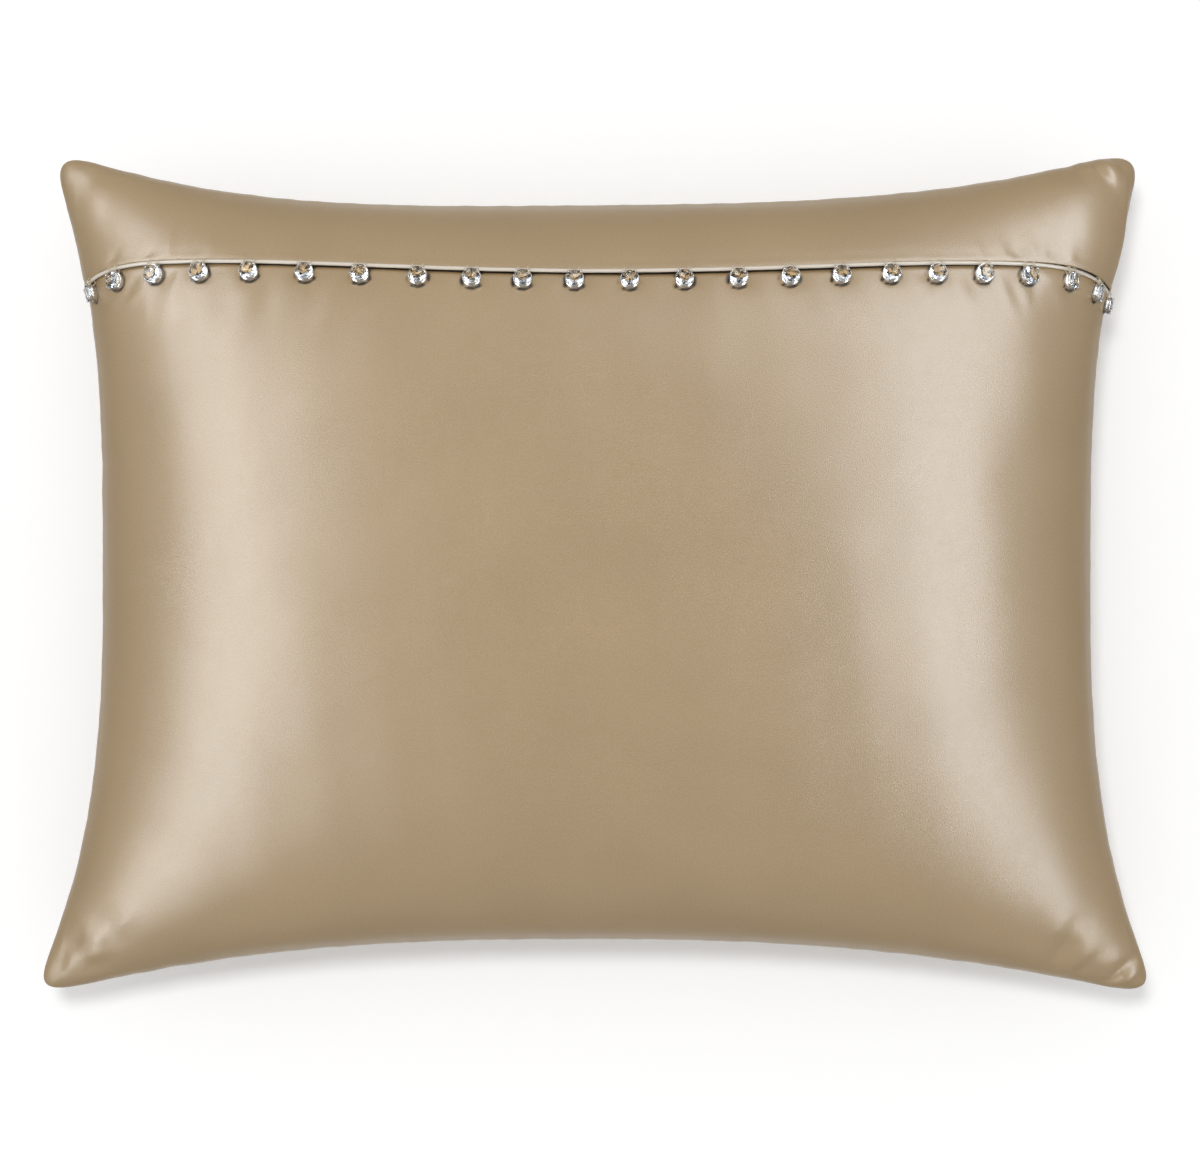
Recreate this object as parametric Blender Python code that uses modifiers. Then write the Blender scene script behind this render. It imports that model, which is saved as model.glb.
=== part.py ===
# A filled pillow sham, lying on its back: one stuffed body, a header flap laid over its top end,
# a satin piping along the flap's lower edge, and glass jewels in claw settings hung from the piping.
import math
from collections import namedtuple

import bmesh
import bpy
from mathutils import Matrix, Vector

# Driving dimensions in metres. X runs along the header, Y towards it, Z up from the surface.
# The body is shaped around its seam plane; standing it on the surface comes last.
crown = 0.105  # the front's height over the seam plane
belly = 0.082  # the back's free bulge below the seam plane
rest_depth = 0.066  # where the surface stops the back
rest_blend = 0.008  # how softly the back meets the surface
crown_power_x = 2.6  # above 2 the crown is flat in the middle and steep at the sides
crown_power_y = 2.2
corner_power = 40  # the higher, the sharper the sewn corners

# Each side of the outline runs through its middle, and flares out towards both corners.
# The low end is the foot or the left one, the high end the header or the right one. A side with
# sway lies a little further out in its high half than in its low one.
Side = namedtuple("Side", "middle low_reach low_power high_reach high_power sway")
sides = {
    "left": Side(0.2840, 0.0435, 2.8, 0.0312, 3.1, 0.0),
    "right": Side(0.2862, 0.0415, 2.9, 0.0320, 3.0, 0.0),
    "foot": Side(0.2114, 0.0350, 2.6, 0.0352, 2.3, 0.0),
    "header": Side(0.2108, 0.0344, 3.4, 0.0344, 3.0, 0.003),
}

# Folds that the stuffing leaves in the cloth, in the seam plane: a ridge is above 0, a trough below.
Fold = namedtuple("Fold", "x y turn length width height")
folds = (
    Fold(0.3030, -0.2285, 39, 0.018, 0.0040, -0.0028),  # dog-ear tuck across the foot's right corner
    Fold(0.3070, -0.2335, 39, 0.018, 0.0040, 0.0018),
    Fold(0.2690, -0.2150, 50, 0.022, 0.0080, -0.0010),  # dents beside the ridge to that corner
    Fold(0.2860, -0.2300, 50, 0.016, 0.0060, -0.0010),
    Fold(-0.2960, -0.2180, -48, 0.014, 0.0070, -0.0010),  # dents across the foot's left corner
    Fold(-0.2790, -0.2020, -48, 0.020, 0.0090, -0.0010),
    Fold(-0.3060, -0.2200, 60, 0.020, 0.0050, -0.0010),
    Fold(0.2960, 0.2300, -58, 0.014, 0.0050, 0.0018),  # pleats at the header's right corner
    Fold(0.2840, 0.2310, -30, 0.012, 0.0060, -0.0014),
    Fold(0.2680, 0.2270, -20, 0.012, 0.0060, -0.0010),
    Fold(-0.2900, 0.2240, 50, 0.018, 0.0090, -0.0012),  # soft dents at the header's left corner
    Fold(-0.2740, 0.2200, 80, 0.018, 0.0080, -0.0010),
)
fold_fade = 0.010  # height at which a fold reaches its full depth, so that the seams stay put

# The trim line, where the flap's lower edge lies.
trim_shoulder = 0.1758  # distance from the middle of the sham to the line's two high points
trim_shoulder_x = 0.235
trim_tilt = -0.0006  # how much lower the right high point is than the middle of the two
trim_sag = 0.0068  # how far the line sags between them
trim_dip = 0.0085  # how far it dips towards a side seam
trim_dip_width = 0.059

cloth = 0.0012
gap = 0.0003  # between pieces that touch
piping_radius = 0.00105
piping_overrun = {"left": 1, "right": 3}  # columns past the side seam, onto the back

# A jewel and its setting, along the setting's own Z.
stone_radius = 0.00480
stone_table = 0.00290
stone_culet = 0.00150
stone_girdle = (0.00300, 0.00335)
stone_top = 0.00440
setting_radius = 0.00530
setting_bore = 0.00400
setting_groove = (0.00100, 0.00190)  # heights between which its side is drawn in
groove_radius = 0.00475
seat_foot = 0.00210  # where the bore starts to open out under the stone
seat_radius = 0.00480
setting_rim = 0.00290
claw_width = 0.00110
claw_height = 0.00390
claw_thickness = 0.00050
claw_foot = 0.00020
claw_reach = 0.00075  # how far a tip bends in over the stone
jewel_sides = 12
jewel_drop = 0.00275  # from the trim line down the cloth to the setting's top edge
jewel_rest = 0.00035  # from the setting's lowest edge to the cloth's slope
jewel_lean_share = 0.85  # share of its own tilt that a leaning setting is lifted by

# Where each jewel hangs, from left to right: its place on the cloth along X, how far it leans to
# its right and how far its lower edge droops towards the cloth, in degrees.
Sewn = namedtuple("Sewn", "x lean droop")
sewn = (
    Sewn(-0.2882, -17, 0),
    Sewn(-0.2724, -10, 4),
    Sewn(-0.2484, -3, 8),
    Sewn(-0.2220, 0, 10),
    Sewn(-0.1935, 0, 10),
    Sewn(-0.1618, 0, 10),
    Sewn(-0.1308, 0, 10),
    Sewn(-0.0983, 0, 10),
    Sewn(-0.0682, 0, 10),
    Sewn(-0.0398, 0, 10),
    Sewn(-0.0110, 0, 10),
    Sewn(0.0196, 0, 10),
    Sewn(0.0500, 0, 10),
    Sewn(0.0801, 0, 10),
    Sewn(0.1090, 0, 10),
    Sewn(0.1376, 0, 10),
    Sewn(0.1656, 0, 10),
    Sewn(0.1916, 0, 10),
    Sewn(0.2183, 2, 9),
    Sewn(0.2442, 10, 6),
    Sewn(0.2690, 24, 3),
    Sewn(0.2866, 22, 2),
)
last_jewel = (86, 8, 0)  # the one at the side seam: its angle round the sham, lean and droop

# How finely the cloth is faceted. Row trim_row of the front runs along the trim line.
columns = 44
rows = 32
trim_row = 25
probe = 0.01  # angle, in radians, over which a slope of the cloth is measured

finishes = {
    "satin": ((0.42, 0.31, 0.20), 0.38, 0.0),
    "piping_satin": ((0.62, 0.55, 0.46), 0.30, 0.0),
    "setting_silver": ((0.78, 0.77, 0.75), 0.22, 1.0),
    "crystal": ((0.92, 0.94, 0.97), 0.05, 0.0),
}


def flare(side, along):
    sway = side.sway * along * (1 - along**2)
    if along > 0:
        return side.middle + sway + side.high_reach * along**side.high_power
    return side.middle + sway + side.low_reach * (-along) ** side.low_power


def plan(s, t):
    """The place in the seam plane of a point at s across and t along, each from -1 to 1."""
    inset = 1 / (corner_power + 1)
    across = s * (1 - inset * abs(t) ** corner_power)
    along = t * (1 - inset * abs(s) ** corner_power)
    side = sides["right" if s > 0 else "left"]
    end = sides["header" if t > 0 else "foot"]
    return across * flare(side, along), along * flare(end, across)


def fold_height(x, y):
    total = 0.0
    for fold in folds:
        turn = math.radians(fold.turn)
        dx, dy = x - fold.x, y - fold.y
        along = dx * math.cos(turn) + dy * math.sin(turn)
        across = dy * math.cos(turn) - dx * math.sin(turn)
        total += fold.height * math.exp(-((along / fold.length) ** 2) - (across / fold.width) ** 2)
    return total


def settled(depth):
    """A depth under the seam plane, stopped softly by the surface."""
    first, last = rest_depth - rest_blend, rest_depth + rest_blend
    if depth < first:
        return depth
    if depth > last:
        return rest_depth
    return rest_depth - (last - depth) ** 2 / (4 * rest_blend)


def cloth_point(turn_x, turn_y):
    """The body's surface. The angles run from -90 to 90 degrees over the front, from seam to seam,
    and a turn_x past 90 goes on round the side seam onto the back."""
    s, t = math.sin(turn_x), math.sin(turn_y)
    x, y = plan(s, t)
    bulge_x = math.sqrt(max(0.0, 1 - abs(s) ** crown_power_x))
    bulge_y = math.sqrt(max(0.0, 1 - abs(t) ** crown_power_y))
    bulge = bulge_x * bulge_y
    if math.cos(turn_x) < 0:
        return Vector((x, y, -settled(belly * bulge)))
    height = crown * bulge
    fade = min(1.0, height / fold_fade)
    return Vector((x, y, height + fade * fold_height(x, y)))


def trim_line(x):
    level = trim_shoulder + trim_tilt * x / trim_shoulder_x
    inner = min(1.0, abs(x) / trim_shoulder_x)
    outer = max(0.0, abs(x) - trim_shoulder_x) / trim_dip_width
    return level - trim_sag * (1 - inner**2) ** 2 - trim_dip * outer**3


def trim_angle(turn_x):
    """The turn_y at which the cloth passes under the trim line."""
    s = math.sin(turn_x)
    t = 0.8
    for _ in range(6):
        x, _ = plan(s, t)
        t = trim_line(x) / flare(sides["header"], s)
    return math.asin(t)


def row_angle(row, turn_x):
    trim = trim_angle(turn_x)
    if row <= trim_row:
        return -math.pi / 2 + (trim + math.pi / 2) * row / trim_row
    return trim + (math.pi / 2 - trim) * (row - trim_row) / (rows - trim_row)


def cloth_normal(turn_x, turn_y):
    """Measured a little inside the end seams and the corners, where the surface has no slope."""
    limit = math.pi / 2 - 1.5 * probe
    if abs(turn_y) > limit - probe:
        turn_x = max(-limit, min(limit, turn_x))
        turn_y = max(-limit, min(limit, turn_y))
    along_x = cloth_point(turn_x + probe, turn_y) - cloth_point(turn_x - probe, turn_y)
    along_y = cloth_point(turn_x, turn_y + probe) - cloth_point(turn_x, turn_y - probe)
    return along_x.cross(along_y).normalized()


def trim_frame(turn_x):
    """The trim line's point there, with axes along it, up the cloth and out of the cloth."""
    point = cloth_point(turn_x, trim_angle(turn_x))
    before = cloth_point(turn_x - probe, trim_angle(turn_x - probe))
    after = cloth_point(turn_x + probe, trim_angle(turn_x + probe))
    outward = cloth_normal(turn_x, trim_angle(turn_x))
    along = after - before
    along = (along - outward * along.dot(outward)).normalized()
    return point, along, outward.cross(along), outward


def trim_turn(x):
    """The turn_x at which the trim line reaches x."""
    low, high = -math.pi / 2, math.pi / 2
    for _ in range(40):
        middle = (low + high) / 2
        if cloth_point(middle, trim_angle(middle)).x < x:
            low = middle
        else:
            high = middle
    return (low + high) / 2


def make_material(slot):
    color, roughness, metallic = finishes[slot]
    material = bpy.data.materials.new(slot)
    material.use_nodes = True
    shader = material.node_tree.nodes["Principled BSDF"]
    shader.inputs["Base Color"].default_value = (*color, 1)
    shader.inputs["Roughness"].default_value = roughness
    shader.inputs["Metallic"].default_value = metallic
    return material


def add_object(name, data, slot, parent):
    if not data.materials:
        data.materials.append(materials[slot])
    piece = bpy.data.objects.new(name, data)
    piece.parent = parent
    collection.objects.link(piece)
    return piece


def mesh_from(bm, name):
    mesh = bpy.data.meshes.new(name)
    bm.to_mesh(mesh)
    bm.free()
    mesh.shade_smooth()
    return mesh


def wrap_grid(bm, first_row, last_row, place):
    """Lays a flat grid over the cloth, with its corners at the given rows."""
    count = last_row - first_row
    made = bmesh.ops.create_grid(bm, x_segments=columns, y_segments=count, size=1)
    for vert in made["verts"]:
        turn_x = vert.co.x * math.pi / 2
        row = first_row + (vert.co.y + 1) / 2 * count
        vert.co = place(turn_x, row_angle(row, turn_x))
    return made["verts"]


def make_body(parent):
    def on_back(turn_x, turn_y):
        return cloth_point(math.pi - turn_x, turn_y)

    bm = bmesh.new()
    wrap_grid(bm, 0, rows, cloth_point)
    back = wrap_grid(bm, 0, rows, on_back)
    back_faces = {face for vert in back for face in vert.link_faces}
    bmesh.ops.reverse_faces(bm, faces=list(back_faces))
    bmesh.ops.remove_doubles(bm, verts=bm.verts, dist=1e-6)
    return add_object("sham_body", mesh_from(bm, "sham_body"), "satin", parent)


def make_flap(parent):
    def over_cloth(turn_x, turn_y):
        return cloth_point(turn_x, turn_y) + gap * cloth_normal(turn_x, turn_y)

    bm = bmesh.new()
    wrap_grid(bm, trim_row, rows, over_cloth)
    flap = add_object("header_flap", mesh_from(bm, "header_flap"), "satin", parent)
    wall = flap.modifiers.new("cloth", "SOLIDIFY")
    wall.thickness = cloth
    wall.offset = 1
    return flap


def make_piping(parent):
    points = []
    for column in range(-piping_overrun["left"], columns + piping_overrun["right"] + 1):
        turn_x = math.pi * (column / columns - 0.5)
        point, _along, up, outward = trim_frame(turn_x)
        points.append(point + (gap + piping_radius) * (outward - up))
    curve = bpy.data.curves.new("piping", "CURVE")
    curve.dimensions = "3D"
    curve.bevel_depth = piping_radius
    curve.bevel_resolution = 2
    curve.use_fill_caps = True
    spline = curve.splines.new("POLY")
    spline.points.add(len(points) - 1)
    for spline_point, point in zip(spline.points, points):
        spline_point.co = (*point, 1)
    return add_object("piping", curve, "piping_satin", parent)


def stone_mesh():
    """A cut stone: table, crown, girdle and a shallow pavilion, one ring of points for each."""
    low, high = stone_girdle
    bm = bmesh.new()
    made = bmesh.ops.create_circle(bm, segments=jewel_sides, radius=stone_radius)
    girdle = made["verts"]
    bmesh.ops.translate(bm, verts=girdle, vec=(0, 0, low))
    rim = bm.edges[:]
    for height, radius in ((high, stone_radius), (stone_top, stone_table)):
        ring = bmesh.ops.extrude_edge_only(bm, edges=rim)["geom"]
        for vert in (item for item in ring if isinstance(item, bmesh.types.BMVert)):
            scale = radius / vert.co.xy.length
            vert.co = (vert.co.x * scale, vert.co.y * scale, height)
        rim = [item for item in ring if isinstance(item, bmesh.types.BMEdge)]
    bmesh.ops.contextual_create(bm, geom=rim)
    culet = bm.verts.new((0, 0, stone_culet))
    for edge in [edge for edge in bm.edges if all(vert in girdle for vert in edge.verts)]:
        bm.faces.new((edge.verts[0], edge.verts[1], culet))
    bmesh.ops.recalc_face_normals(bm, faces=bm.faces)
    return mesh_from(bm, "stone")


def claw_section(face, near, far, height):
    """Where a claw's corners go at its next step: a rectangle that faces the axis."""
    centre = face.calc_center_median().xy
    toward = centre.normalized()
    sideways = Vector((-toward.y, toward.x))
    spots = []
    for vert in face.verts:
        radius = far if vert.co.xy.dot(toward) > centre.length else near
        side = math.copysign(claw_width / 2, vert.co.xy.dot(sideways))
        spots.append((*(toward * radius + sideways * side), height))
    return spots


def setting_mesh():
    """A ring grooved round its side and open under the stone, with four claws drawn up from its
    rim and bent in over the crown."""
    bm = bmesh.new()
    groove_low, groove_high = setting_groove
    corners = (
        (setting_bore, 0),
        (setting_radius, 0),
        (setting_radius, groove_low),
        (groove_radius, groove_low),
        (groove_radius, groove_high),
        (setting_radius, groove_high),
        (setting_radius, setting_rim),
        (seat_radius, setting_rim),
        (setting_bore, seat_foot),
    )
    section = [bm.verts.new((radius, 0, height)) for radius, height in corners]
    edges = [bm.edges.new((first, last)) for first, last in zip(section, section[1:] + section[:1])]
    bmesh.ops.spin(
        bm, geom=edges, axis=(0, 0, 1), angle=math.tau, steps=jewel_sides, use_merge=True
    )
    bmesh.ops.recalc_face_normals(bm, faces=bm.faces)
    bm.faces.ensure_lookup_table()
    tops = [
        face
        for face in bm.faces
        if face.normal.z > 0.9 and all(vert.co.z > groove_high for vert in face.verts)
    ]
    tops.sort(key=lambda face: math.atan2(*face.calc_center_median().yx))
    inner = stone_radius + gap
    outer = inner + claw_thickness
    # Each step of a claw: its height, and how far its inner and outer faces are from the axis.
    steps = (
        (setting_rim + claw_foot, inner, outer),
        (claw_height, inner, outer),
        (claw_height + claw_thickness, inner - claw_reach, outer - claw_reach),
    )
    for face in tops[1 :: jewel_sides // 4]:
        for height, near, far in steps:
            spots = claw_section(face, near, far, height)
            face = bmesh.ops.extrude_discrete_faces(bm, faces=[face])["faces"][0]
            for vert, spot in zip(face.verts, spots):
                vert.co = spot
    bmesh.ops.recalc_face_normals(bm, faces=bm.faces)
    return mesh_from(bm, "setting")


def make_jewels(parent):
    last_angle, last_lean, last_droop = last_jewel
    turns = [(trim_turn(place.x), place.lean, place.droop) for place in sewn]
    turns.append((math.radians(last_angle), last_lean, last_droop))
    stone = stone_mesh()
    setting = setting_mesh()
    for number, (turn_x, lean, droop) in enumerate(turns, start=1):
        point, along, up, outward = trim_frame(turn_x)
        lean, droop = math.radians(lean), math.radians(droop)
        drop = jewel_drop + setting_radius
        tilt = math.sin(droop) + jewel_lean_share * abs(math.sin(lean))
        lift = jewel_rest + setting_radius * tilt
        place = Matrix((along, up, outward)).transposed().to_4x4()
        place.translation = point - drop * up + lift * outward
        turned = Matrix.Rotation(lean, 4, "Y") @ Matrix.Rotation(droop, 4, "X")
        for kind, mesh, slot in (("setting", setting, "setting_silver"), ("stone", stone, "crystal")):
            piece = add_object(f"{kind}_{number:02d}", mesh, slot, parent)
            piece.matrix_local = place @ turned


def stand_on_surface(root):
    """Puts the middle of the sham's box over the origin, with its back on the surface."""
    bpy.context.view_layer.update()
    corners = []
    for piece in collection.objects:
        if piece.name in ("sham_body", "header_flap"):
            corners += [piece.matrix_world @ Vector(corner) for corner in piece.bound_box]
    middle_x = (min(c.x for c in corners) + max(c.x for c in corners)) / 2
    middle_y = (min(c.y for c in corners) + max(c.y for c in corners)) / 2
    root.location = (-middle_x, -middle_y, rest_depth)


for old in list(bpy.data.objects):
    bpy.data.objects.remove(old)
collection = bpy.data.collections.new("pillow_sham")
bpy.context.scene.collection.children.link(collection)
materials = {slot: make_material(slot) for slot in finishes}
root = bpy.data.objects.new("sham_root", None)
collection.objects.link(root)
make_body(root)
make_flap(root)
make_piping(root)
make_jewels(root)
stand_on_surface(root)
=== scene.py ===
import math
from collections import namedtuple

import bmesh
import bpy
import numpy as np
from mathutils import Matrix, Vector


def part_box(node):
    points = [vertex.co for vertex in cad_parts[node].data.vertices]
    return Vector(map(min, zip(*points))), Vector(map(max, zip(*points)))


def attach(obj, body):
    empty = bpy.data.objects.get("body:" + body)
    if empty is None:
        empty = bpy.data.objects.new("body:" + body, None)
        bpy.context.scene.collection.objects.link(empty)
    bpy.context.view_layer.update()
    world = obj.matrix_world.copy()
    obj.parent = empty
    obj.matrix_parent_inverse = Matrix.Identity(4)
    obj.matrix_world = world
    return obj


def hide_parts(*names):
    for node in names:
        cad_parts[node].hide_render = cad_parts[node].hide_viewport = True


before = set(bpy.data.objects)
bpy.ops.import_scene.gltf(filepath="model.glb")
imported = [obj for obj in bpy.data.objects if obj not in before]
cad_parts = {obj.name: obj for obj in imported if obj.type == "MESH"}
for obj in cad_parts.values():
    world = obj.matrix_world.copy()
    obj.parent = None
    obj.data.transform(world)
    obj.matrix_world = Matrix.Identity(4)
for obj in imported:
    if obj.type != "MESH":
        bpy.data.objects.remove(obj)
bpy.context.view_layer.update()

print("frame loaded:", len(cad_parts), "nodes")

# Metres: X along the header, Y towards it, Z up from the seam plane. `standing` moves it to the solids.
shamShape = {
    "crown": 0.105,  # height over the seam plane
    "belly": 0.082,  # how deep the back would be if nothing pressed it
    "restDepth": 0.066,  # where the surface below stops it
    "restBlend": 0.008,
    "crownPowerX": 2.6,
    "crownPowerY": 2.2,
    "cornerPower": 40,
    "foldFade": 0.01,
    "probe": 0.01,  # turn between the points that give a slope
}

Side = namedtuple("Side", "middle lowReach lowPower highReach highPower sway")
sides = {
    "left": Side(0.284, 0.0435, 2.8, 0.0312, 3.1, 0.0),
    "right": Side(0.2862, 0.0415, 2.9, 0.032, 3.0, 0.0),
    "foot": Side(0.2114, 0.035, 2.6, 0.0352, 2.3, 0.0),
    "header": Side(0.2108, 0.0344, 3.4, 0.0344, 3.0, 0.003),
}

Fold = namedtuple("Fold", "x y turn length width height")


def metres(*sizes):
    return [size / 1000 for size in sizes]


def folds(*rows):  # x, y, turn in degrees, length, width and height: the lengths in millimetres
    return tuple(Fold(*metres(x, y), turn, *metres(*sizes)) for x, y, turn, *sizes in rows)


cornerFolds = folds(
    (303, -228.5, 39, 18, 4, -2.8),  # tuck across the foot's right corner
    (307, -233.5, 39, 18, 4, 1.8), (269, -215, 50, 22, 8, -1), (286, -230, 50, 16, 6, -1),
    (-296, -218, -48, 14, 7, -1), (-279, -202, -48, 20, 9, -1), (-306, -220, 60, 20, 5, -1),
    (296, 230, -58, 14, 5, 1.8), (284, 231, -30, 12, 6, -1.4), (268, 227, -20, 12, 6, -1),
    (-290, 224, 50, 18, 9, -1.2), (-274, 220, 80, 18, 8, -1),
)

trimShape = {
    "shoulder": 0.1758,
    "shoulderX": 0.235,
    "tilt": -0.0006,
    "sag": 0.0068,
    "dip": 0.0085,
    "dipWidth": 0.059,
}

quarter = math.pi / 2
solidGrid = {"columns": 44, "rows": 32, "trimRow": 25}  # the solids' facets, for finding `standing`


def flare(side, along):
    high = side.highReach * np.maximum(along, 0) ** side.highPower
    low = side.lowReach * np.maximum(-along, 0) ** side.lowPower
    return side.middle + high + low + side.sway * along * (1 - along**2)


def planPlace(s, t):
    inset = 1 / (shamShape["cornerPower"] + 1)
    across = s * (1 - inset * np.abs(t) ** shamShape["cornerPower"])
    along = t * (1 - inset * np.abs(s) ** shamShape["cornerPower"])
    wide = np.where(s > 0, flare(sides["right"], along), flare(sides["left"], along))
    deep = np.where(t > 0, flare(sides["header"], across), flare(sides["foot"], across))
    return across * wide, along * deep


def foldHeight(x, y, shapes):
    total = np.zeros_like(x)
    for fold in shapes:
        turn = math.radians(fold.turn)
        dx, dy = x - fold.x, y - fold.y
        along = dx * math.cos(turn) + dy * math.sin(turn)
        across = dy * math.cos(turn) - dx * math.sin(turn)
        total += fold.height * np.exp(-((along / fold.length) ** 2) - (across / fold.width) ** 2)
    return total


def settled(depth):
    rest, blend = shamShape["restDepth"], shamShape["restBlend"]
    soft = rest - (rest + blend - depth) ** 2 / (4 * blend)
    return np.where(depth < rest - blend, depth, np.where(depth > rest + blend, rest, soft))


def clothPoint(turnX, turnY):
    s, t = np.sin(turnX), np.sin(turnY)
    x, y = planPlace(s, t)
    across = np.sqrt(np.maximum(0, 1 - np.abs(s) ** shamShape["crownPowerX"]))
    along = np.sqrt(np.maximum(0, 1 - np.abs(t) ** shamShape["crownPowerY"]))
    bulge = across * along
    height = shamShape["crown"] * bulge
    fade = np.minimum(1, height / shamShape["foldFade"])
    front = height + fade * foldHeight(x, y, cornerFolds)
    back = -settled(shamShape["belly"] * bulge)
    return np.stack([x, y, np.where(np.cos(turnX) >= 0, front, back)], axis=-1)


def unit(vectors):
    return vectors / np.maximum(np.linalg.norm(vectors, axis=-1, keepdims=True), 1e-12)


def clothNormal(turnX, turnY):
    probe = shamShape["probe"]
    limit = quarter - 1.5 * probe
    nearEnd = np.abs(turnY) > limit - probe
    beyond = np.cos(turnX) < 0
    flat = np.where(beyond, math.pi - turnX, turnX)
    held = np.clip(flat, -limit, limit)
    heldX = np.where(nearEnd, np.where(beyond, math.pi - held, held), turnX)
    heldY = np.where(nearEnd, np.clip(turnY, -limit, limit), turnY)
    alongX = clothPoint(heldX + probe, heldY) - clothPoint(heldX - probe, heldY)
    alongY = clothPoint(heldX, heldY + probe) - clothPoint(heldX, heldY - probe)
    return unit(np.cross(alongX, alongY))


def trimLine(x):
    level = trimShape["shoulder"] + trimShape["tilt"] * x / trimShape["shoulderX"]
    inner = np.minimum(1, np.abs(x) / trimShape["shoulderX"])
    outer = np.maximum(0, np.abs(x) - trimShape["shoulderX"]) / trimShape["dipWidth"]
    return level - trimShape["sag"] * (1 - inner**2) ** 2 - trimShape["dip"] * outer**3


def trimAngle(turnX):
    s = np.sin(turnX)
    t = np.full_like(s, 0.8)
    for _ in range(6):
        x, _y = planPlace(s, t)
        t = trimLine(x) / flare(sides["header"], s)
    return np.arcsin(t)


def trimFrame(turnX):
    probe = shamShape["probe"]
    turnY = trimAngle(turnX)
    point = clothPoint(turnX, turnY)
    before = clothPoint(turnX - probe, trimAngle(turnX - probe))
    after = clothPoint(turnX + probe, trimAngle(turnX + probe))
    outward = clothNormal(turnX, turnY)
    along = after - before
    along = unit(along - outward * np.sum(along * outward, axis=-1, keepdims=True))
    return point, along, np.cross(outward, along), outward


def rowsBetween(start, end, rows):  # even steps of turn from one line to another
    return start + (end - start) * np.linspace(0, 1, rows + 1)[:, None]


def findStanding():
    turnX = np.linspace(-quarter, quarter, solidGrid["columns"] + 1)
    trim = trimAngle(turnX)
    below = rowsBetween(-quarter, trim, solidGrid["trimRow"])
    above = rowsBetween(trim, quarter, solidGrid["rows"] - solidGrid["trimRow"])
    turnY = np.concatenate([below, above])
    points = clothPoint(np.broadcast_to(turnX, turnY.shape), turnY)[..., :2]
    middle = (points.min(axis=(0, 1)) + points.max(axis=(0, 1))) / 2
    place = np.mean(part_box("sham_body"), axis=0)[:2] - middle
    return np.array([place[0], place[1], shamShape["restDepth"]])


standing = findStanding()
print("standing, in mm:", standing * 1000)


def setSocket(tree, socket, value):
    if isinstance(value, bpy.types.NodeSocket):
        tree.links.new(value, socket)
    else:
        socket.default_value = value


def addNode(tree, kind, settings=None, **values):
    node = tree.nodes.new(kind)
    for key, value in (settings or {}).items():
        setattr(node, key, value)
    for key, value in values.items():
        setSocket(tree, node.inputs[int(key[1:])] if key[1:].isdigit() else node.inputs[key], value)
    return node


def mathNode(tree, operation, first, second=0.0, third=0.0, clamp=False):
    settings = {"operation": operation, "use_clamp": clamp}
    return addNode(tree, "ShaderNodeMath", settings, i0=first, i1=second, i2=third).outputs[0]


def mixColor(tree, factor, first, second, blend="MIX"):
    settings = {"data_type": "RGBA", "blend_type": blend}
    return addNode(tree, "ShaderNodeMix", settings, i0=factor, i6=first, i7=second).outputs[2]


def noise(tree, vector, scale, detail=2.0, roughness=0.5):
    node = addNode(tree, "ShaderNodeTexNoise", Vector=vector, Scale=scale, Detail=detail, Roughness=roughness)
    return node.outputs["Fac"]


def bump(tree, height, strength, distance):
    return addNode(tree, "ShaderNodeBump", Height=height, Strength=strength, Distance=distance).outputs[0]


def newMaterial(name):
    material = bpy.data.materials.new(name)
    material.use_nodes = True
    return material, material.node_tree


def setShader(tree, values):
    for key, value in values.items():
        setSocket(tree, tree.nodes["Principled BSDF"].inputs[key], value)


def linkObject(name, data):
    item = bpy.data.objects.new(name, data)
    bpy.context.scene.collection.objects.link(item)
    return item


def meshOf(name, bm):
    mesh = bpy.data.meshes.new(name)
    bm.to_mesh(mesh)
    bm.free()
    return mesh


def mapRange(tree, value, low, high, toLow, toHigh, blend="LINEAR"):
    limits = {"i1": low, "i2": high, "i3": toLow, "i4": toHigh}
    return addNode(tree, "ShaderNodeMapRange", {"interpolation_type": blend}, i0=value, **limits).outputs[0]


camera = {"lens": 100, "sensor": 36, "overSeam": 1.93, "x": 0.0029, "y": -0.0075}
studio = {
    "sky": 0.66,  # what the cloth is lit by from all round
    "skyInGloss": 0.28,  # what polished things mirror there
    "belowInGloss": 0.08,  # what the steep sides mirror
    "belowFrom": (0.05, -0.45),  # how far down it starts and ends
    "groundInGloss": 0.9,  # what the very edges mirror
    "groundFrom": (-0.55, -0.98),
    "skyInJewels": (0.06, 1.6),  # dark and bright patches for the cut stones
    "patches": 3.4,
    "patchEdge": (0.44, 0.54),
    "skyTint": (0.985, 0.995, 1.0),
    "boxTint": (0.9, 0.98, 1.08),
    "aimHeight": 0.1,
    "floor": 0.93,
    "floorGlow": 0.14,  # keeps the paper white up to the sham
    "floorSize": 4,
    "floorDrop": 0.0004,
}
Softbox = namedtuple("Softbox", "name x y z width height watts lights mirrors")
softboxes = (
    Softbox("left box", -1.62, 0.0, 1.56, 4.5, 0.7, 52, False, True),
    Softbox("right box", 1.42, 0.35, 1.65, 5.2, 0.54, 55, False, True),
    Softbox("key", -0.22, 0.48, 2.9, 0.4, 0.4, 31, True, False),  # lights the cloth but shows in no gloss
)


def makeCamera():
    lens = bpy.data.cameras.new("camera")
    lens.lens = camera["lens"]
    lens.sensor_width = camera["sensor"]
    eye = linkObject("camera", lens)
    eye.location = (camera["x"], camera["y"], camera["overSeam"] + shamShape["restDepth"])
    bpy.context.scene.camera = eye


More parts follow.
